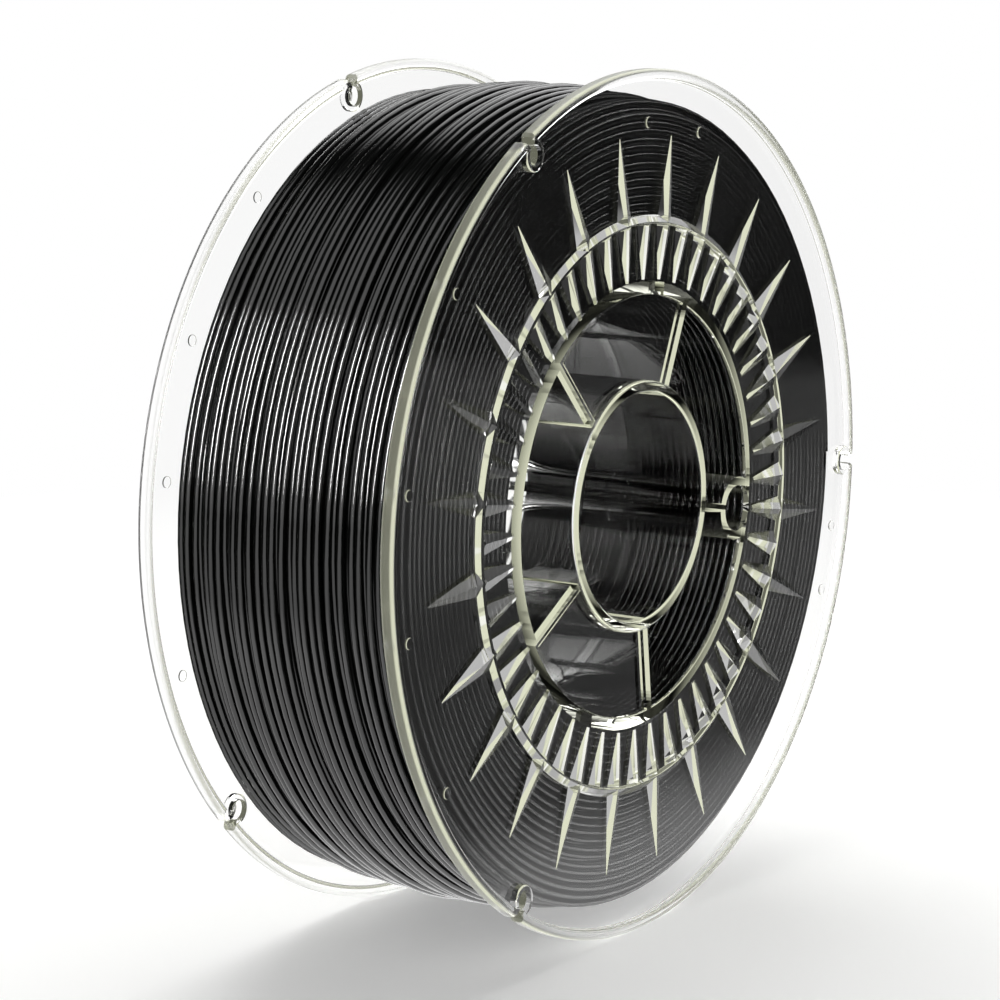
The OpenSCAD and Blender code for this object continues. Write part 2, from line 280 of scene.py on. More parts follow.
def disc(name, radius, low, high, centre=(0, 0), vertices=96, edge=0.0):
    """A round disc or cylinder between two heights, with its top edge rounded."""
    start_fresh()
    bpy.ops.mesh.primitive_cylinder_add(
        vertices=vertices, radius=radius, depth=high - low, location=(*centre, (low + high) / 2)
    )
    piece = bpy.context.object
    piece.name = name
    apply_place()
    if edge:
        edit(piece)
        bpy.ops.mesh.select_all(action="DESELECT")
        leave_edit()
        for corner in piece.data.vertices:
            corner.select = corner.co.z > high - WELD
        bpy.ops.object.mode_set(mode="EDIT")
        bpy.ops.mesh.bevel(offset=edge, segments=FILLET_STEPS)
        leave_edit()
    return piece


def block(name, low, high, turn):
    """A box between two corners, turned about Z."""
    start_fresh()
    centre = [(a + b) / 2 for a, b in zip(low, high)]
    bpy.ops.mesh.primitive_cube_add(size=1, location=centre)
    piece = bpy.context.object
    piece.name = name
    piece.scale = [b - a for a, b in zip(low, high)]
    apply_place()
    place(piece, Matrix.Rotation(turn, 4, "Z"))
    return piece


def copy_turned(piece, turn):
    """A copy of a piece with its own mesh, turned about Z."""
    other = piece.copy()
    other.data = piece.data.copy()
    bpy.context.collection.objects.link(other)
    place(other, Matrix.Rotation(turn, 4, "Z"))
    return other


def ring_of(piece, count):
    """A piece and its copies, evenly spaced about Z."""
    step = 2 * math.pi / count
    return [piece] + [copy_turned(piece, step * i) for i in range(1, count)]


def join(pieces):
    """Makes one object of pieces that stay clear of each other."""
    start_fresh()
    for piece in pieces:
        piece.select_set(True)
    bpy.context.view_layer.objects.active = pieces[0]
    bpy.ops.object.join()
    return pieces[0]


def combine(piece, other, operation="UNION"):
    """Adds another solid to a piece, or cuts it out, and removes it."""
    select_only(piece)
    before = len(piece.data.vertices)
    step = piece.modifiers.new("Combine", "BOOLEAN")
    step.operation = operation
    step.solver = "MANIFOLD"
    step.object = other
    bpy.ops.object.modifier_apply(modifier=step.name)
    if len(piece.data.vertices) == before:
        raise RuntimeError(f"{other.name} could not be combined with {piece.name}")
    bpy.data.objects.remove(other)


def smooth(piece, degrees):
    """Smooth shading up to an angle, with the flat faces kept flat up to their edges."""
    select_only(piece)
    bpy.ops.object.shade_smooth_by_angle(angle=math.radians(degrees))
    step = piece.modifiers.new("Flat faces", "WEIGHTED_NORMAL")
    step.mode = "FACE_AREA_WITH_ANGLE"
    step.weight = 100
    step.keep_sharp = True
    bpy.ops.object.modifier_apply(modifier=step.name)


def finish(piece, material, slot, *nodes):
    """Gives a finished piece its material and ties it to the frame."""
    piece.data.materials.clear()
    piece.data.materials.append(material)
    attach(piece, BODY)
    if nodes:
        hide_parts(*nodes)


# ---------------------------------------------------------------- materials


def add_node(tree, kind, settings=None, links=None):
    """Adds a node, sets its sockets and fields, and links sources into its inputs."""
    node = tree.nodes.new(kind)
    for key, value in (settings or {}).items():
        if isinstance(key, int) or key in node.inputs:
            node.inputs[key].default_value = value
        else:
            setattr(node, key, value)
    for key, source in (links or {}).items():
        tree.links.new(source, node.inputs[key])
    return node


def added_up(tree, *terms):
    """The sum of the products of pairs of values, each from a socket or a number."""
    total = 0.0
    for pair in terms:
        settings, links = {"operation": "MULTIPLY_ADD"}, {}
        for key, value in enumerate((*pair, total)):
            kept_in = settings if isinstance(value, float) else links
            kept_in[key] = value
        total = add_node(tree, "ShaderNodeMath", settings, links).outputs[0]
    return total


def new_material(name):
    material = bpy.data.materials.new(name)
    material.use_nodes = True
    material.node_tree.nodes.clear()
    return material, material.node_tree


def clear_polystyrene():
    """Clear polystyrene, injection moulded: water-clear faces, yellow-green through its edges, with
    a painted glow.
    """
    material, tree = new_material("Clear moulded polystyrene")
    tint_and_glow = bpy.context.scene.spool_colours.plastic
    place_in = add_node(tree, "ShaderNodeTexCoord").outputs["Object"]
    # moulded faces sink a little as they cool, in patches about 12 mm across
    sinks = add_node(
        tree, "ShaderNodeTexNoise", {"Scale": 1 / (12 * MM), "Detail": 1.0}, {"Vector": place_in}
    )
    waves = add_node(
        tree, "ShaderNodeBump", {"Strength": 0.05, "Distance": 0.4 * MM},
        {"Height": sinks.outputs["Fac"]},
    )
    # painted glow: an emission in the plastic's tint stands in for light that runs on inside a
    # wall, mirrored three times or more, comes out at edges and facets, and is seen in the first
    # wall that the eye meets
    path = add_node(tree, "ShaderNodeLightPath")
    trapped = add_node(
        tree, "ShaderNodeMath", {"operation": "GREATER_THAN", 1: 2.5},
        {0: path.outputs["Glossy Depth"]},
    )
    first_wall = add_node(
        tree, "ShaderNodeMath", {"operation": "LESS_THAN", 1: 1.5},
        {0: path.outputs["Transmission Depth"]},
    )
    # next to the black winding the painted glow dies out on its way down to the middle joint
    spot = add_node(tree, "ShaderNodeSeparateXYZ", None, {0: place_in})
    depth = add_node(tree, "ShaderNodeMath", {"operation": "ABSOLUTE"}, {0: spot.outputs["Y"]})
    reach = add_node(
        tree, "ShaderNodeMapRange",
        {"interpolation_type": "SMOOTHSTEP", "From Min": 2 * MM, "From Max": 11 * MM,
         "To Max": 0.32},
        {"Value": depth.outputs[0]},
    )
    # the painted glow fades where the steps are long: what runs flat along the flange, in long
    # steps, mostly runs on to the far side; the hub keeps all of it
    level = add_node(
        tree, "ShaderNodeCombineXYZ", None, {"X": spot.outputs["X"], "Y": spot.outputs["Z"]}
    )
    radius = add_node(
        tree, "ShaderNodeVectorMath", {"operation": "LENGTH"}, {0: level.outputs[0]}
    ).outputs["Value"]
    short_steps = add_node(
        tree, "ShaderNodeMapRange",
        {"From Min": 3.4 * MM, "From Max": 4.4 * MM, "To Min": 1.0, "To Max": 0.2},
        {"Value": path.outputs["Ray Length"]},
    )
    in_hub = add_node(
        tree, "ShaderNodeMapRange", {"From Min": 60 * MM, "From Max": 58 * MM}, {"Value": radius}
    )
    kept = add_node(
        tree, "ShaderNodeMath", {"operation": "MAXIMUM"},
        {0: short_steps.outputs["Result"], 1: in_hub.outputs["Result"]},
    )
    painted_glow = reach.outputs["Result"]
    for part in (trapped, first_wall, kept):
        painted_glow = added_up(tree, (painted_glow, part.outputs[0]))
    # the outermost millimetre of the rim is a little frosted by handling
    frosted = add_node(
        tree, "ShaderNodeMapRange",
        {"interpolation_type": "SMOOTHSTEP", "From Min": 98.5 * MM, "From Max": 99.5 * MM,
         "To Min": 0.02, "To Max": 0.38},
        {"Value": radius},
    )
    plastic = add_node(
        tree, "ShaderNodeBsdfPrincipled",
        {
            "Base Color": (1, 1, 1, 1),
            "IOR": 1.58,
            "Transmission Weight": 1.0,
            # faces seen squarely keep half their mirror image, edges and facets all of it
            "Specular Tint": (0.05, 0.05, 0.05, 1),
            "Emission Color": (*tint_and_glow, 1),
        },
        {"Normal": waves.outputs["Normal"], "Roughness": frosted.outputs["Result"],
         "Emission Strength": painted_glow},
    )
    # a wall is clear through its thickness and tinted along its length
    through = add_node(
        tree, "ShaderNodeVolumeAbsorption", {"Color": (*tint_and_glow, 1), "Density": 10.0}
    )
    add_node(
        tree, "ShaderNodeOutputMaterial", None,
        {"Surface": plastic.outputs["BSDF"], "Volume": through.outputs["Volume"]},
    )
    return material


def extruded_filament():
    """Black filament drawn through a die: smooth, a little waxy, with fine lines along it."""
    material, tree = new_material("Extruded black filament")
    shade = bpy.context.scene.spool_colours.filament
    place_in = add_node(tree, "ShaderNodeTexCoord").outputs["Object"]
    # the lines are finer than 1.5 mm on the real strand, and drawn as coarse as they can show
    grain = add_node(
        tree, "ShaderNodeTexNoise", {"Scale": 1 / (1.5 * MM), "Detail": 2.0}, {"Vector": place_in}
    ).outputs["Fac"]
    rough = add_node(
        tree, "ShaderNodeMapRange", {"To Min": 0.08, "To Max": 0.14}, {"Value": grain}
    )
    lines = add_node(
        tree, "ShaderNodeBump", {"Strength": 0.03, "Distance": 0.02 * MM}, {"Height": grain}
    )
    plastic = add_node(
        tree, "ShaderNodeBsdfPrincipled", {"Base Color": (*shade, 1), "IOR": 1.46},
        {"Roughness": rough.outputs["Result"], "Normal": lines.outputs["Normal"]},
    )
    add_node(tree, "ShaderNodeOutputMaterial", None, {"Surface": plastic.outputs["BSDF"]})
    return material


shared = {}


def material_of(maker):
    """The material that a function makes, made once and shared by its pieces."""
    if maker.__name__ not in shared:
        shared[maker.__name__] = maker()
    return shared[maker.__name__]


# ---------------------------------------------------------------- the half spool

# Parts that are added to each other stop 0.02 to 0.05 mm short of each other's faces, so that
# no two faces lie in one plane. In the hub they reach BITE into the walls that they meet.
BITE = 0.8 * MM

# angles of the ejector pads from the drive hole, in degrees
OUTER_PADS = (151.5, 179, 198.5, 222, 347.5, 357.5)
INNER_PADS = (82, 97)


def flange_face(sizes):
    """Height of the outer face of the flange disc over the middle joint."""
    return sizes.half_width - sizes.bead_height


def flange_inside(sizes):
    """Height of the inner face of the flange disc over the middle joint."""
    return flange_face(sizes) - sizes.flange_thickness


def hub_outside(sizes):
    return sizes.hub_radius + sizes.hub_wall


def hub_room(sizes):
    """Radii between which webs and panels run, from wall to wall of the hub."""
    return sizes.bore_radius + sizes.bore_wall - BITE, sizes.hub_radius + BITE


def square_ring(inside, outside, low, high):
    """Outline of a ring with square corners, as (radius, height) points."""
    return [(inside, low), (outside, low), (outside, high), (inside, high)]


def flange_and_hub(sizes):
    """Flange, rim bead, ridge ring and hub wall, turned as one."""
    face, inner = flange_face(sizes), flange_inside(sizes)
    bead = sizes.flange_radius - sizes.bead_width
    crest = sizes.ridge_radius
    foot = crest + sizes.ridge_width
    steep = 0.25 * MM
    joint = steep / 10
    # each corner with the radius of its fillet in millimetres
    corners = [
        ((sizes.hub_radius, face), 0.25),
        ((sizes.hub_radius, joint), 0),
        ((hub_outside(sizes), joint), 0),
        ((hub_outside(sizes), inner), 0),
        ((sizes.flange_radius, inner), 0.9),
        ((sizes.flange_radius, sizes.half_width), 0.9),
        ((bead, sizes.half_width), 0.9),
        ((bead, face), 0.5),
        ((foot, face), 0.3),
        ((crest, face + sizes.ridge_height), 0.12),
        ((crest - steep, face), 0.1),
    ]
    return lathe("half_spool", rounded([c for c, r in corners], [r * MM for c, r in corners]))


def bore_tube(sizes):
    top = flange_face(sizes) + sizes.bore_lip
    corners = square_ring(sizes.bore_radius, sizes.bore_radius + sizes.bore_wall, 0, top)
    return lathe("bore_tube", rounded(corners, [0, 0, 0.6 * MM, 0.6 * MM]), 256)


def hub_webs(sizes):
    """Two pairs of webs from wall to wall, and a short one to the drive ring."""
    top = flange_face(sizes) - 0.02 * MM
    start, end = hub_room(sizes)
    short = sizes.drive_centre - sizes.drive_hole_radius - sizes.drive_wall / 2
    webs = [(side * turn, end) for side in (-1, 1) for turn in (sizes.near_web, sizes.far_web)]
    webs.append((0, short))
    half = sizes.web / 2
    return join([block("web", (start, -half, 0), (reach, half, top), turn) for turn, reach in webs])


def hub_panels(sizes):
    """The panels that close two of the rooms between the webs, one above and one below."""
    top = flange_face(sizes) - sizes.panel_recess
    corners = square_ring(*hub_room(sizes), top - sizes.panel, top)
    sweep = sizes.far_web - sizes.near_web
    starts = (sizes.near_web, -sizes.far_web)
    return join([sector("panel", corners, start, sweep, 66) for start in starts])


def drive_ring(sizes):
    """The ring round the drive hole, cut off where it would come out of the hub wall."""
    top = flange_face(sizes) - 0.03 * MM
    outside = sizes.drive_hole_radius + sizes.drive_wall
    ring = disc("drive_ring", outside, 0.03 * MM, top, (sizes.drive_centre, 0))
    limit = disc("limit", hub_outside(sizes) - 0.05 * MM, -4 * top, 4 * top, vertices=360)
    combine(ring, limit, "INTERSECT")
    return ring


def drive_hole(sizes):
    reach = 2 * sizes.half_width
    return disc("drive_hole", sizes.drive_hole_radius, -reach, reach, (sizes.drive_centre, 0))


def clip_outline(sizes, wall, reach):
    """Outline of a clip in the plane of the flange: a round hole with a mouth to the rim."""
    radius = sizes.clip_hole / 2 + wall
    neck = sizes.slit / 2 + wall
    mouth = sizes.mouth / 2 + wall
    centre = sizes.flange_radius - sizes.clip_margin
    throat = centre + sizes.clip_hole / 2 + 0.3 * MM
    rim = sizes.flange_radius + reach
    start = math.asin(neck / radius)
    turns = np.linspace(start, 2 * math.pi - start, 40)
    points = [(centre + radius * math.cos(turn), radius * math.sin(turn)) for turn in turns]
    return points + [(throat, -neck), (rim, -mouth), (rim, mouth), (throat, neck)]


def at_clips(sizes, piece):
    """The same piece at each clip of the rim."""
    step = 2 * math.pi / sizes.clip_count
    turns = [sizes.clip_angle + step * i for i in range(sizes.clip_count)]
    pieces = [copy_turned(piece, turn) for turn in turns]
    bpy.data.objects.remove(piece)
    return join(pieces)


def clip_walls(sizes):
    low = flange_inside(sizes) + 0.03 * MM
    high = sizes.half_width - 0.04 * MM
    outline = clip_outline(sizes, sizes.clip_wall, -sizes.bead_width / 2)
    wall = slab("clip_wall", outline, (0, 0, high - low), flat=True, edge=0.45 * MM)
    place(wall, Matrix.Translation((0, 0, low)))
    return at_clips(sizes, wall)


def clip_cuts(sizes):
    low = flange_inside(sizes) - MM
    way = (0, 0, sizes.half_width + MM - low)
    cut = slab("clip_cut", clip_outline(sizes, 0, MM), way, flat=True)
    place(cut, Matrix.Translation((0, 0, low)))
    return at_clips(sizes, cut)


def ejector_pads(sizes):
    """Round pads that the moulding's ejector pins leave on the flange."""
    low, high = flange_face(sizes) - 0.4 * MM, flange_face(sizes) + sizes.pad_height
    spots = [(sizes.flange_radius - sizes.pad_margin, degrees) for degrees in OUTER_PADS]
    spots += [(sizes.mark_radius, degrees) for degrees in INNER_PADS]
    pads = []
    for reach, degrees in spots:
        turn = math.radians(degrees)
        centre = (reach * math.cos(turn), reach * math.sin(turn))
        pads.append(disc("pad", sizes.pad_diameter / 2, low, high, centre, 32, 0.15 * MM))
    return join(pads)


def lap_lip(sizes):
    """The lip of the hub wall that enters the other half, along one side."""
    inside = sizes.hub_radius + sizes.hub_wall / 2
    corners = square_ring(inside, hub_outside(sizes) - 0.03 * MM, -sizes.lap, 0.6 * MM)
    return sector("lap_lip", corners, math.radians(14), math.radians(152), 152)


def lap_rebate(sizes):
    """The room that the other half's lip enters, a degree longer at both ends."""
    inside = sizes.hub_radius + sizes.hub_wall / 2 - sizes.play
    corners = square_ring(inside, hub_outside(sizes) + MM, -MM, sizes.lap + sizes.play)
    return sector("lap_rebate", corners, math.radians(-167), math.radians(154), 154)


def snap_hook(sizes):
    """The hook inside the hub wall that holds the other half."""
    root = sizes.hub_radius + 0.6 * MM
    back = sizes.hub_radius - sizes.hook_thickness
    front = sizes.hub_radius - sizes.play
    nose = front + sizes.hook_nose
    top, sill = 6 * MM, 0.1 * MM
    step = -sizes.hook_reach + sizes.hook_slot - 2 * sizes.play
    outline = [
        (back, top),
        (root, top),
        (root, sill),
        (front, sill),
        (front, step),
        (nose, step),
        (nose, step - sizes.hook_slot / 4),
        (front, -sizes.hook_reach),
        (back, -sizes.hook_reach),
    ]
    hook = slab("snap_hook", outline, (0, sizes.hook_width, 0))
    centred = Matrix.Translation((0, -sizes.hook_width / 2, 0))
    place(hook, Matrix.Rotation(math.pi / 2, 4, "Z") @ centred)
    return hook


def snap_window(sizes):
    """The slot in the hub wall that takes the nose of the other half's hook."""
    wide = sizes.hook_width / 2 + sizes.play
    low = (sizes.hub_radius - MM, -wide, sizes.hook_reach - sizes.hook_slot)
    high = (hub_outside(sizes) + MM, wide, sizes.hook_reach + sizes.play)
    return block("snap_window", low, high, -math.pi / 2)


def hub_notch(sizes):
    wide = sizes.notch_width / 2
    low = (sizes.hub_radius - MM, -wide, flange_face(sizes) - sizes.notch_depth)
    high = (hub_outside(sizes), wide, flange_face(sizes) + MM)
    return block("hub_notch", low, high, math.pi / 2)


def roof(name, start, end, start_width, end_width, slope, base):
    """A roof-shaped ridge on the flange, along X: a four-sided cone with its lower half sunk."""
    start_fresh()
    bpy.ops.mesh.primitive_cone_add(
        vertices=4,
        radius1=start_width / 2,
        radius2=end_width / 2,
        depth=end - start,
        rotation=(0, math.pi / 2, 0),
        location=((start + end) / 2, 0, 0),
    )
    piece = bpy.context.object
    piece.name = name
    apply_place()
    place(piece, Matrix.Translation((0, 0, base)) @ Matrix.Diagonal((1, 1, slope, 1)))
    return piece


def sunburst(sizes):
    """Long rays outside the ridge ring, and two short teeth to each ray inside it."""
    face = flange_face(sizes)
    gap = 0.5 * MM
    ray = roof(
        "ray",
        sizes.ridge_radius + 0.1 * MM,
        sizes.ray_tip,
        sizes.ray_width,
        0.3 * MM,
        # the rays are a little lower than the ridge ring
        0.88 * sizes.ridge_height * 2 / sizes.ray_width,
        face,
    )
    tooth = roof(
        "tooth",
        hub_outside(sizes) + gap,
        sizes.ridge_radius - gap,
        sizes.tooth_tip,
        sizes.tooth_width,
        sizes.ridge_height * 2 / sizes.tooth_width,
        face,
    )
    return join(ring_of(ray, sizes.ray_count) + ring_of(tooth, 2 * sizes.ray_count))


def half_spool(sizes):
    """One moulding: flange outwards along +Z, middle joint at 0, drive hole on +X."""
    piece = flange_and_hub(sizes)
    combine(piece, drive_ring(sizes))
    combine(piece, clip_walls(sizes))
    for part in (drive_hole, clip_cuts, hub_notch, lap_rebate, snap_window):
        combine(piece, part(sizes), "DIFFERENCE")
    for part in (lap_lip, snap_hook, ejector_pads, sunburst, hub_panels, hub_webs, bore_tube):
        combine(piece, part(sizes))
    return piece


class SPOOL_OT_half_spools(Operator):
    """Model the clear half spool once, and turn a copy over for the rear"""

    bl_idname = "spool.half_spools"
    bl_label = "Half spools"

    def execute(self, context):
        sizes = context.scene.spool_sizes
        front = half_spool(sizes)
        # the fillets' facets meet at 15 degrees and the flattest facets of a ray at 20
        smooth(front, 17)
        rear = front.copy()
        rear.data = front.data.copy()
        context.collection.objects.link(rear)
        stand = Matrix.Rotation(math.pi / 2, 4, "X") @ Matrix.Rotation(sizes.spin, 4, "Z")
        place(front, stand)
        place(rear, stand @ Matrix.Rotation(math.pi, 4, "X"))
        front.name = "clear_front_half"
        rear.name = "clear_rear_half"
        material = material_of(clear_polystyrene)
        finish(front, material, "clear_plastic", "front_half")
        finish(rear, material, "clear_plastic", "rear_half")
        return {"FINISHED"}


# ---------------------------------------------------------------- the winding

LOOP_POINTS = 96  # points in a loop of the layers
SIDE_LOOP_POINTS = 120  # points in a loop against a flange


def smooth_noise(rng, count, period):
    """Values that wander between about -1 and 1, with a bend every so many samples."""
    knots = max(4, int(round(count / period)) + 3)
    values = rng.uniform(-1, 1, knots)
    # from the second knot to just short of the last but one, so that each has its neighbours
    at = np.linspace(1, knots - 2.001, count)
    i = at.astype(int)
    t = at - i
    a, b, c, d = values[i - 1], values[i], values[i + 1], values[i + 2]
    return b + 0.5 * t * (c - a + t * (2 * a - 5 * b + 4 * c - d + t * (3 * (b - c) + d - a)))


def strand(name, points, diameter, sides=8):
    """A round strand along a line of points."""
    curve = bpy.data.curves.new(name, "CURVE")
    curve.dimensions = "3D"
    curve.bevel_depth = diameter / 2
    curve.bevel_resolution = sides // 2 - 2
    curve.use_fill_caps = True
    line = curve.splines.new("POLY")
    line.points.add(len(points) - 1)
    flat = np.ones((len(points), 4))
    flat[:, :3] = points
    line.points.foreach_set("co", flat.ravel())
    line.use_smooth = True
    piece = bpy.data.objects.new(name, curve)
    bpy.context.collection.objects.link(piece)
    select_only(piece)
    bpy.ops.object.convert(target="MESH")
    return bpy.context.object


def winding_radius(sizes, y, half):
    """Outside radius of the winding at a place along the axis."""
    return sizes.edge_radius + sizes.crown * (1 - (y / half) ** 2)


def half_of_winding(sizes, spool):
    """From the middle to the centre of the last turn of a layer, next to a flange."""
    return flange_inside(spool) - sizes.diameter / 2 - 0.25 * MM


def coil(radius, y, turn):
    """Points at these radii, places along the axis and angles about it."""
    return np.stack([radius * np.cos(turn), y, radius * np.sin(turn)], axis=1)


def laid_turns(sizes, rng, loops, half, depth, wander, way):
    """Points of a layer of turns from flange to flange, each kept off the one before it."""
    loop = LOOP_POINTS
    count = loops * loop + 1
    a = np.linspace(0, loops, count)
    y = -half + 2 * half * a / loops
    y = y + wander * (
        smooth_noise(rng, count, loop * 0.45) + 0.7 * smooth_noise(rng, count, loop * 1.7)
    )
    # neighbours that are too close push each other apart, a little at a time
    least = sizes.diameter * 1.02
    for _ in range(30):
        push = np.clip(least - (y[loop:] - y[:-loop]), 0, None) / 2
        y[loop:] += push
        y[:-loop] -= push
        y = np.clip(y, -half, half)
        y[1:-1] = 0.25 * y[:-2] + 0.5 * y[1:-1] + 0.25 * y[2:]
    # a turn with room beside it sinks between the turns below
    room = np.full(count, sizes.diameter)
    room[loop:-loop] = (y[2 * loop :] - y[: -2 * loop]) / 2
    sunk = np.clip(room / sizes.diameter - 1, 0, 0.6) * 0.5 * sizes.diameter
    kernel = np.hanning(25)
    padded = np.pad(sunk, len(kernel) // 2, mode="edge")
    sunk = np.convolve(padded, kernel / kernel.sum(), mode="valid")
    lift = 0.12 * MM * smooth_noise(rng, count, loop * 0.3)
    radius = winding_radius(sizes, y, half) - sizes.diameter / 2 - depth - sunk + lift
    return coil(radius, y, 2 * math.pi * a * way)


class SPOOL_OT_outer_turns(Operator):
    """Wind the layers that show between the flanges"""

    bl_idname = "spool.outer_turns"
    bl_label = "Outer turns"

    def execute(self, context):
        sizes = context.scene.winding_sizes
        material = material_of(extruded_filament)
        rng = np.random.default_rng(sizes.seed)
        half = half_of_winding(sizes, context.scene.spool_sizes)
        points = laid_turns(sizes, rng, sizes.top_loops, half, depth=0, wander=1.2 * MM, way=1)
        top = strand("top_turns", points, sizes.diameter)
        finish(top, material, "filament", "filament_outer_turns")
        points = laid_turns(
            sizes, rng, sizes.lower_loops, half, depth=1.5 * MM, wander=0.2 * MM, way=-1
        )
        finish(strand("lower_turns", points, sizes.diameter), material, "filament")
        return {"FINISHED"}


class SPOOL_OT_side_turns(Operator):
    """Wind the turns that lie against each flange"""

    bl_idname = "spool.side_turns"
    bl_label = "Side turns"

    def execute(self, context):
        sizes = context.scene.winding_sizes
        spool = context.scene.spool_sizes
        material = material_of(extruded_filament)
        rng = np.random.default_rng(sizes.seed + 1)
        low = hub_outside(spool) + sizes.diameter / 2 + 0.2 * MM
        high = sizes.edge_radius - 1.6 * sizes.diameter
        loops = int((high - low) / (1.01 * sizes.diameter))
        count = loops * SIDE_LOOP_POINTS + 1
        a = np.linspace(0, loops, count)
        for side, name in ((-1, "front_side_turns"), (1, "rear_side_turns")):
            radius = low + (high - low) * a / loops
            radius = radius + 0.22 * MM * smooth_noise(rng, count, SIDE_LOOP_POINTS * 0.4)
            back = 0.3 * MM * (1 + smooth_noise(rng, count, SIDE_LOOP_POINTS * 0.6)) / 2
            y = side * (flange_inside(spool) - sizes.diameter / 2 - 0.12 * MM - back)
            points = coil(radius, y, 2 * math.pi * a * side)
            finish(strand(name, points, sizes.diameter), material, "filament")
        return {"FINISHED"}


class SPOOL_OT_first_layer(Operator):
    """Wind the first layer, seen through the hub, and the bulk of the winding over it"""

    bl_idname = "spool.first_layer"
    bl_label = "First layer and bulk"

    def execute(self, context):
        sizes = context.scene.winding_sizes
        spool = context.scene.spool_sizes
        material = material_of(extruded_filament)
        rng = np.random.default_rng(sizes.seed + 2)
        half = half_of_winding(sizes, spool)
        radius = hub_outside(spool) + sizes.diameter / 2 + 0.1 * MM
        loops = int(2 * half / (1.03 * sizes.diameter))
        count = loops * LOOP_POINTS + 1
        a = np.linspace(0, loops, count)
        y = -half + 2 * half * a / loops + 0.1 * MM * smooth_noise(rng, count, LOOP_POINTS * 0.5)
        points = coil(radius, np.clip(y, -half, half), 2 * math.pi * a)
        finish(strand("first_layer", points, sizes.diameter, 6), material, "filament")

        # the bulk fills the room between the first layer, the side turns and the lower turns
        bottom = radius + 0.5 * sizes.diameter
        cover = 1.2 * sizes.diameter
        bed = 1.7 * sizes.diameter
        heights = np.linspace(-1, 1, 17) * (half - 0.4 * sizes.diameter)
        outline = [(bottom, heights[0])]
        outline += [(winding_radius(sizes, y, half) - cover - bed, y) for y in heights]
        outline.append((bottom, heights[-1]))
        bulk = lathe("winding_bulk", outline, 128)
        smooth(bulk, 30)
        place(bulk, Matrix.Rotation(math.pi / 2, 4, "X"))
        finish(bulk, material, "filament", "filament_core")
        return {"FINISHED"}


# ---------------------------------------------------------------- the studio

CAMERA_PLACE = Vector((-724.7, -479.4, 154.4)) * MM
LENS = 135.68
SHIFT = (-0.02106, -0.00699)
FLOOR_SIDE = 12.0

# levels of light, of which 1 is white
DARK = 0.02  # the dark parts of the room, mirrored in the spool
OFTEN = 0.7  # what is mirrored again and again inside a wall
FLOOR_SEEN = 0.3  # what the floor adds to its own matt white where it is seen


def aim(thing):
    """Turns a lamp or the camera to the middle of the spool."""
    thing.rotation_euler = (-thing.location).to_track_quat("-Z", "Y").to_euler()


def lamp(name, location, size, power):
    data = bpy.data.lights.new(name, "AREA")
    data.shape = "RECTANGLE"
    data.size, data.size_y = size
    data.energy = power
    light = bpy.data.objects.new(name, data)
    light.location = location
    bpy.context.collection.objects.link(light)
    aim(light)
    return light


def ray_kinds(tree):
    """Five values, 1 or 0 each: not mirrored at all; of that, what is seen straight on or
    through clear plastic; mirrored on the inner face of a wall; mirrored once in any other way;
    and mirrored again and again.
    """
    path = add_node(tree, "ShaderNodeLightPath")
    mirrored, passed = path.outputs["Glossy Depth"], path.outputs["Transmission Depth"]
    never = add_node(
        tree, "ShaderNodeMath", {"operation": "LESS_THAN", 1: 0.5}, {0: mirrored}
    ).outputs[0]
    straight = add_node(
        tree, "ShaderNodeMath", {"operation": "MAXIMUM"},
        {0: path.outputs["Is Camera Ray"], 1: path.outputs["Is Transmission Ray"]},
    ).outputs[0]
    seen = added_up(tree, (straight, never))
    once = add_node(
        tree, "ShaderNodeMath", {"operation": "COMPARE", 1: 1.0, 2: 0.1}, {0: mirrored}
    ).outputs[0]
    in_and_out = add_node(
        tree, "ShaderNodeMath", {"operation": "COMPARE", 1: 2.0, 2: 0.1}, {0: passed}
    ).outputs[0]
    inner = added_up(tree, (once, in_and_out))
    outer = added_up(tree, (once, 1.0), (inner, -1.0))
    many = add_node(
        tree, "ShaderNodeMath", {"operation": "GREATER_THAN", 1: 1.5}, {0: mirrored}
    ).outputs[0]
    return never, seen, inner, outer, many


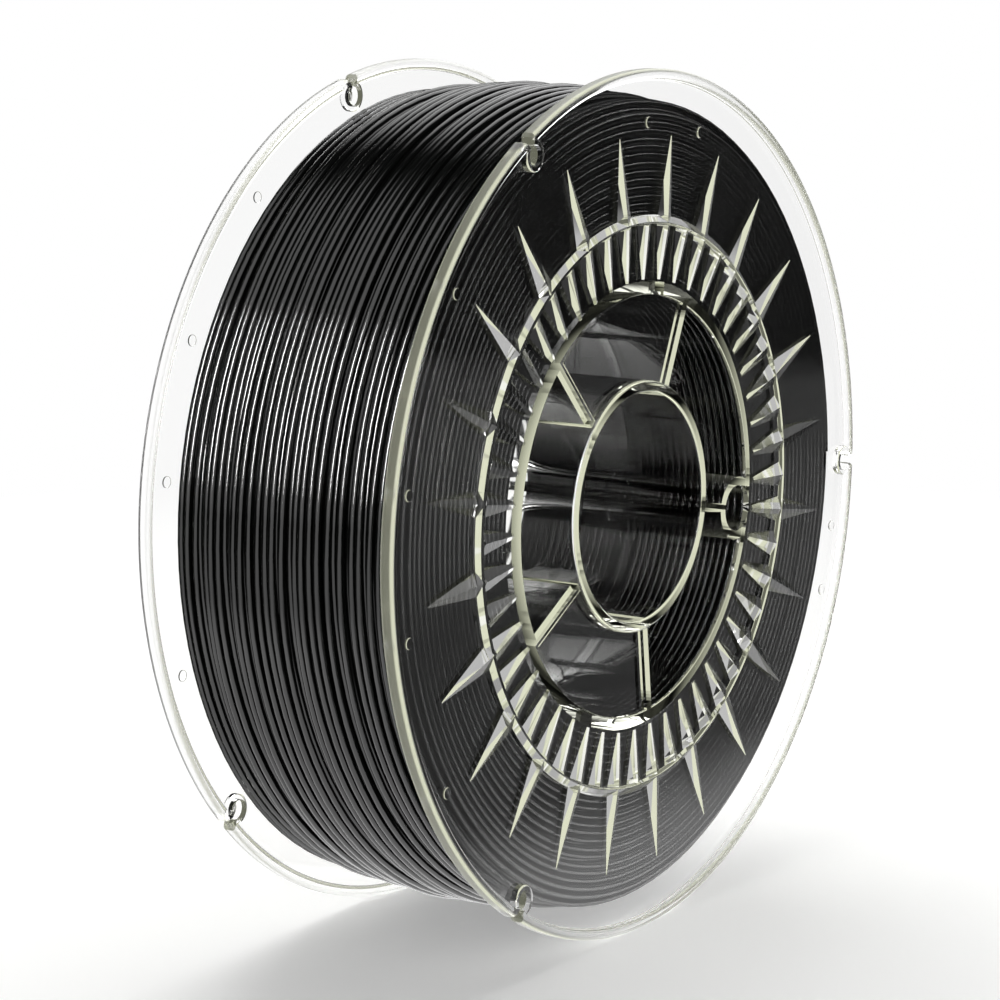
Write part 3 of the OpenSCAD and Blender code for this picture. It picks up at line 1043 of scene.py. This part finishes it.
def pale_floor(scene):
    """Matt white floor that keeps the spool's shadow and runs out to plain white; mirrored, it
    shows painted light.
    """
    material, tree = new_material("Matt white floor")
    shade = scene.spool_colours.floor
    never, seen, inner, outer, many = ray_kinds(tree)
    where = add_node(tree, "ShaderNodeNewGeometry").outputs["Position"]
    spot = add_node(tree, "ShaderNodeSeparateXYZ", None, {0: where})
    reach = add_node(
        tree, "ShaderNodeVectorMath", {"operation": "LENGTH"}, {0: where}
    ).outputs["Value"]
    # mirrored on an inner face, the floor shows painted light, pale for a metre round the spool
    painted_pale = add_node(
        tree, "ShaderNodeMapRange",
        {"From Min": 0.9, "From Max": 1.0, "To Min": 0.5, "To Max": 0.04},
        {"Value": reach},
    ).outputs["Result"]
    # mirrored on the filament, it shows painted light: pale beside the spool, and brighter on the
    # left as if lit by the lamps there
    painted_close = add_node(
        tree, "ShaderNodeMapRange",
        {"interpolation_type": "SMOOTHSTEP", "From Min": 0.35, "From Max": 0.2, "To Max": 2.0},
        {"Value": reach},
    ).outputs["Result"]
    beside = add_node(
        tree, "ShaderNodeMapRange",
        {"interpolation_type": "SMOOTHSTEP", "From Min": -0.12, "From Max": -0.06},
        {"Value": spot.outputs["Y"]},
    ).outputs["Result"]
    left = add_node(
        tree, "ShaderNodeMapRange",
        {"interpolation_type": "SMOOTHSTEP", "From Min": -0.1, "From Max": -0.35, "To Max": 1.8},
        {"Value": spot.outputs["X"]},
    ).outputs["Result"]
    # behind the spool it is painted dark, so that the hub stays black inside
    front = add_node(
        tree, "ShaderNodeMapRange",
        {"interpolation_type": "SMOOTHSTEP", "From Min": 0.15, "From Max": -0.05, "To Min": DARK},
        {"Value": spot.outputs["Y"]},
    ).outputs["Result"]
    level_with = add_node(
        tree, "ShaderNodeMapRange",
        {"interpolation_type": "SMOOTHSTEP", "From Min": 0.3, "From Max": 0.1},
        {"Value": spot.outputs["Y"]},
    ).outputs["Result"]
    level = added_up(
        tree,
        (inner, added_up(tree, (painted_pale, front))),
        (outer, added_up(tree, (left, level_with))),
        (outer, added_up(tree, (painted_close, beside))),
        (outer, DARK),
        (many, added_up(tree, (front, OFTEN))),
        (seen, FLOOR_SEEN),
    )
    # the floor's painted light and painted dark, given off as an emission
    light = add_node(tree, "ShaderNodeEmission", {"Color": (1, 1, 1, 1)}, {"Strength": level})
    matt = add_node(tree, "ShaderNodeBsdfDiffuse", {"Color": (*shade, 1)})
    # its own matt white counts only where it isn't mirrored
    lit = add_node(tree, "ShaderNodeMixShader", None, {"Fac": never, 2: matt.outputs[0]})
    near = add_node(tree, "ShaderNodeAddShader", None, {0: lit.outputs[0], 1: light.outputs[0]})

    out = add_node(
        tree, "ShaderNodeMapRange", {"From Min": 0.2, "From Max": 0.6}, {"Value": reach}
    ).outputs["Result"]
    white = add_node(tree, "ShaderNodeEmission", {"Color": (1, 1, 1, 1), "Strength": 1.0})
    both = add_node(
        tree, "ShaderNodeMixShader", None,
        {"Fac": added_up(tree, (out, seen)), 1: near.outputs[0], 2: white.outputs[0]},
    )
    add_node(tree, "ShaderNodeOutputMaterial", None, {"Surface": both.outputs[0]})
    return material


def painted_light(tree, way, middle, edge, full, level):
    """Light from all ways within a cone, between two cosines of the angle to its middle."""
    toward = add_node(
        tree, "ShaderNodeVectorMath", {"operation": "DOT_PRODUCT", 1: Vector(middle).normalized()},
        {0: way},
    )
    return add_node(
        tree, "ShaderNodeMapRange",
        {"interpolation_type": "SMOOTHSTEP", "From Min": edge, "From Max": full, "To Max": level},
        {"Value": toward.outputs["Value"]},
    ).outputs["Result"]


def white_surroundings(scene):
    """White where it is seen. Mirrored, it is a dark room with a wide light at the front left
    and a smaller one on the right.
    """
    world = bpy.data.worlds.new("Studio")
    scene.world = world
    world.use_nodes = True
    tree = world.node_tree
    tree.nodes.clear()
    way = add_node(tree, "ShaderNodeTexCoord").outputs["Generated"]
    toward = add_node(tree, "ShaderNodeSeparateXYZ", None, {0: way})
    # what lights matt things comes from above
    room = add_node(
        tree, "ShaderNodeMapRange", {"To Min": 0.06, "To Max": 0.35}, {"Value": toward.outputs["Z"]}
    ).outputs["Result"]
    wide = painted_light(tree, way, (-0.75, -0.35, 0.55), edge=0.5, full=0.65, level=2.0)
    right = painted_light(tree, way, (0.75, 0.1, 0.65), edge=0.8, full=0.92, level=2.5)
    # behind the spool it is dark, as the floor is
    sky = add_node(
        tree, "ShaderNodeMapRange", {"From Max": 0.15, "To Min": 0.04, "To Max": 0.35},
        {"Value": toward.outputs["Z"]},
    ).outputs["Result"]
    front = add_node(
        tree, "ShaderNodeMapRange", {"From Min": 0.25, "From Max": -0.05, "To Min": DARK},
        {"Value": toward.outputs["Y"]},
    ).outputs["Result"]
    never, seen, inner, outer, many = ray_kinds(tree)
    level = added_up(
        tree,
        (seen, 1.0),
        (never, room),
        (outer, wide),
        (outer, right),
        (outer, DARK),
        (inner, added_up(tree, (sky, front))),
        (many, added_up(tree, (front, OFTEN))),
    )
    back = add_node(
        tree, "ShaderNodeBackground", {"Color": (1, 1, 1, 1)}, {"Strength": level}
    )
    add_node(tree, "ShaderNodeOutputWorld", None, {"Surface": back.outputs[0]})


class SPOOL_OT_stage(Operator):
    """Set up the floor, the lamps, the surroundings and the camera"""

    bl_idname = "spool.stage"
    bl_label = "Stage"

    def execute(self, context):
        scene = context.scene
        scene.view_settings.view_transform = "Standard"
        start_fresh()
        under = (0, 0, -scene.spool_sizes.flange_radius)
        bpy.ops.mesh.primitive_plane_add(size=FLOOR_SIDE, location=under)
        floor = context.object
        floor.name = "floor"
        apply_place()
        floor.data.materials.append(pale_floor(scene))
        white_surroundings(scene)
        # the softbox makes the shadow; the lamp at the front makes the glints on the strands
        softbox = lamp("overhead_softbox", (0.40, 0.30, 0.8), size=(0.8, 1.5), power=10)
        softbox.visible_glossy = False
        glint = lamp("front_lamp", (-0.85, -0.35, 0.45), size=(0.1, 0.8), power=36)
        glint.data.shape = "ELLIPSE"
        glint.visible_diffuse = False

        data = bpy.data.cameras.new("camera")
        data.lens = LENS
        data.shift_x, data.shift_y = SHIFT
        data.clip_start = 0.01
        camera = bpy.data.objects.new("camera", data)
        camera.location = CAMERA_PLACE
        aim(camera)
        context.collection.objects.link(camera)
        scene.camera = camera
        return {"FINISHED"}


class SPOOL_PT_panel(Panel):
    bl_label = "Filament spool"
    bl_idname = "SPOOL_PT_panel"
    bl_space_type = "VIEW_3D"
    bl_region_type = "UI"
    bl_category = "Spool"

    def draw(self, context):
        for operator in OPERATORS:
            self.layout.operator(operator.bl_idname)


OPERATORS = (
    SPOOL_OT_half_spools,
    SPOOL_OT_outer_turns,
    SPOOL_OT_side_turns,
    SPOOL_OT_first_layer,
    SPOOL_OT_stage,
)
CLASSES = (SpoolSizes, WindingSizes, SpoolColours) + OPERATORS + (SPOOL_PT_panel,)


def register():
    for item in CLASSES:
        bpy.utils.register_class(item)
    bpy.types.Scene.spool_sizes = PointerProperty(type=SpoolSizes)
    bpy.types.Scene.winding_sizes = PointerProperty(type=WindingSizes)
    bpy.types.Scene.spool_colours = PointerProperty(type=SpoolColours)


def unregister():
    del bpy.types.Scene.spool_sizes
    del bpy.types.Scene.winding_sizes
    del bpy.types.Scene.spool_colours
    for item in reversed(CLASSES):
        bpy.utils.unregister_class(item)


def main():
    register()
    bpy.ops.spool.half_spools()
    bpy.ops.spool.outer_turns()
    bpy.ops.spool.side_turns()
    bpy.ops.spool.first_layer()
    bpy.ops.spool.stage()


if __name__ == "__main__":
    main()
